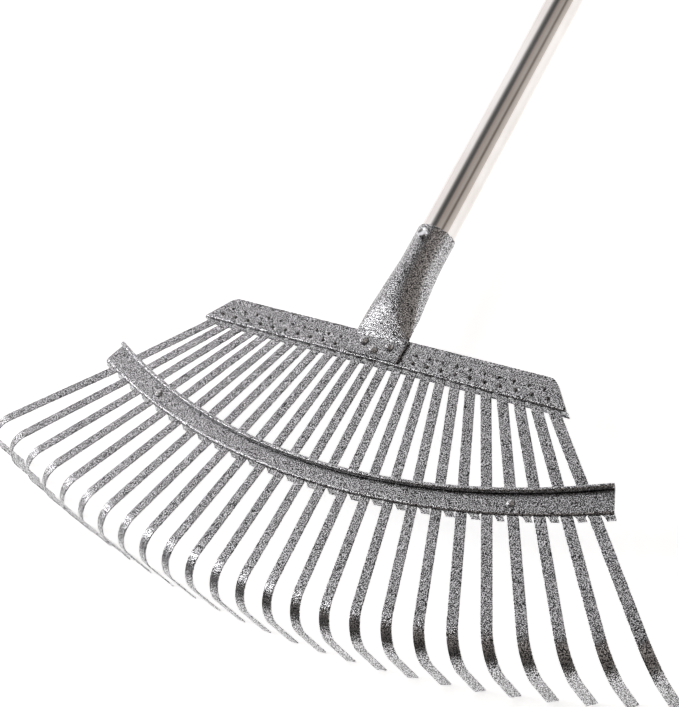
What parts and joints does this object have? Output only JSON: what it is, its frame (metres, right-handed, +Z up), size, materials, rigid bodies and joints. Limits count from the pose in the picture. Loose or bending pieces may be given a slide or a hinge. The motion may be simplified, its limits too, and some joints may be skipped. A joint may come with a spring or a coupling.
{
  "type": "leaf rake",
  "caption": "Wide leaf rake: flat sprung steel tines clamped in a head plate, spread by a curved brace, on a round steel tube handle with a riveted socket.",
  "frame": {"origin": "bottom centre of the whole rake's box, on the ground it lies on", "axes": "+Y along the handle from the tines to the grip, +X across the fan, +Z up; the rake lies on its tine tips and the end of its grip"},
  "size_m": [0.54, 1.5008, 0.0522],
  "materials": {
    "hammertone_tine": "hammertone lacquer, silver grey with fine dark speckle",
    "hammertone_head": "hammertone lacquer, silver grey with fine dark speckle",
    "polished_tube": "polished steel tube",
    "zinc_hardware": "bright zinc plate",
    "grip": "moulded black grip"
  },
  "bodies": {
    "root": {"handle_tube": "polished_tube", "handle_grip": "grip", "handle_socket": "hammertone_head", "socket_bolt": "zinc_hardware", "socket_nut": "zinc_hardware", "head_plate": "hammertone_head", "clamp_plate": "hammertone_head", "spreader_brace": "hammertone_head", "tine_01": "hammertone_tine", "tine_02": "hammertone_tine", "tine_03": "hammertone_tine", "tine_04": "hammertone_tine", "tine_05": "hammertone_tine", "tine_06": "hammertone_tine", "tine_07": "hammertone_tine", "tine_08": "hammertone_tine", "tine_09": "hammertone_tine", "tine_10": "hammertone_tine", "tine_11": "hammertone_tine", "tine_12": "hammertone_tine", "tine_13": "hammertone_tine", "tine_14": "hammertone_tine", "tine_15": "hammertone_tine", "tine_16": "hammertone_tine", "tine_17": "hammertone_tine", "tine_18": "hammertone_tine", "tine_19": "hammertone_tine", "tine_20": "hammertone_tine", "tine_21": "hammertone_tine", "tine_22": "hammertone_tine", "tine_23": "hammertone_tine", "tine_24": "hammertone_tine", "tine_25": "hammertone_tine", "socket_rivet_1": "hammertone_head", "socket_rivet_2": "hammertone_head", "socket_rivet_3": "hammertone_head", "brace_rivet_left": "hammertone_head", "brace_rivet_right": "hammertone_head"}
  },
  "joints": []
}
